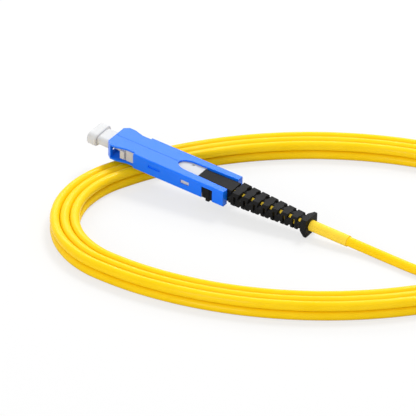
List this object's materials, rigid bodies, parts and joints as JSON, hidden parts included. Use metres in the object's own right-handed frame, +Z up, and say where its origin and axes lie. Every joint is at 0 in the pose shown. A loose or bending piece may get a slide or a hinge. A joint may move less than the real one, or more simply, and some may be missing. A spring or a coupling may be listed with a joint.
{
  "type": "fibre optic patch cable",
  "caption": "Yellow optical patch cable wound in an oval coil, with a slim blue push-pull plug, slotted black boot and white dust cap on each end.",
  "frame": {"origin": "centre of the coil's eye, on the surface that the coil lies on", "axes": "+Z up, +X along the oval coil's long way, with the near plug on the -X side and the far plug on the +X side"},
  "size_m": [0.1497, 0.0759, 0.0094],
  "materials": {
    "cap_plastic": "translucent white, soft gloss",
    "housing_plastic": "moulded blue, satin gloss",
    "frame_plastic": "moulded off-white, satin",
    "ferrule_ceramic": "polished white ceramic",
    "flange_metal": "nickel plated brass, turned",
    "inner_tube_plastic": "natural plastic tube",
    "fibre_buffer": "tight buffer, satin",
    "spring_steel": "drawn spring wire",
    "stop_ring_metal": "nickel plated brass, turned",
    "strength_yarn": "aramid fibres laid along the cable",
    "crimp_metal": "crimped metal sleeve",
    "boot_rubber": "moulded black, fine grain",
    "sleeve_jacket": "extruded yellow, glossy",
    "cable_jacket": "extruded yellow, glossy"
  },
  "bodies": {
    "root": {"near_plug_frame": "frame_plastic", "near_return_spring": "spring_steel", "near_stop_ring": "stop_ring_metal", "near_yarn_layer": "strength_yarn", "near_crimp_ring": "crimp_metal", "near_boot": "boot_rubber", "near_jacket_sleeve": "sleeve_jacket", "near_cable_end": "cable_jacket", "far_plug_frame": "frame_plastic", "far_return_spring": "spring_steel", "far_stop_ring": "stop_ring_metal", "far_yarn_layer": "strength_yarn", "far_crimp_ring": "crimp_metal", "far_boot": "boot_rubber", "far_jacket_sleeve": "sleeve_jacket", "far_cable_end": "cable_jacket", "cable_coil": "cable_jacket", "cable_tail_near": "cable_jacket", "cable_tail_far": "cable_jacket"},
    "near_housing": {"near_outer_housing": "housing_plastic"},
    "near_ferrule_unit": {"near_ferrule": "ferrule_ceramic", "near_ferrule_flange": "flange_metal", "near_inner_tube": "inner_tube_plastic", "near_fibre": "fibre_buffer"},
    "near_cap": {"near_dust_cap": "cap_plastic"},
    "far_housing": {"far_outer_housing": "housing_plastic"},
    "far_ferrule_unit": {"far_ferrule": "ferrule_ceramic", "far_ferrule_flange": "flange_metal", "far_inner_tube": "inner_tube_plastic", "far_fibre": "fibre_buffer"},
    "far_cap": {"far_dust_cap": "cap_plastic"}
  },
  "joints": [
    {"name": "near_housing_pull", "type": "slide", "parent": "root", "child": "near_housing", "axis": [0.8366, -0.5392, -0.0968], "range_m": [0, 0.0007]},
    {"name": "near_ferrule_press", "type": "slide", "parent": "root", "child": "near_ferrule_unit", "axis": [0.8366, -0.5392, -0.0968], "range_m": [0, 0.0006], "stiffness_N_per_m": 700, "deforming": ["near_return_spring"]},
    {"name": "near_cap_pull", "type": "slide", "parent": "root", "child": "near_cap", "axis": [-0.8366, 0.5392, 0.0968], "range_m": [0, 0.009]},
    {"name": "far_housing_pull", "type": "slide", "parent": "root", "child": "far_housing", "axis": [-0.6018, -0.7986, 0.0047], "range_m": [0, 0.0007]},
    {"name": "far_ferrule_press", "type": "slide", "parent": "root", "child": "far_ferrule_unit", "axis": [-0.6018, -0.7986, 0.0047], "range_m": [0, 0.0006], "stiffness_N_per_m": 700, "deforming": ["far_return_spring"]},
    {"name": "far_cap_pull", "type": "slide", "parent": "root", "child": "far_cap", "axis": [0.6018, 0.7986, -0.0047], "range_m": [0, 0.009]}
  ]
}
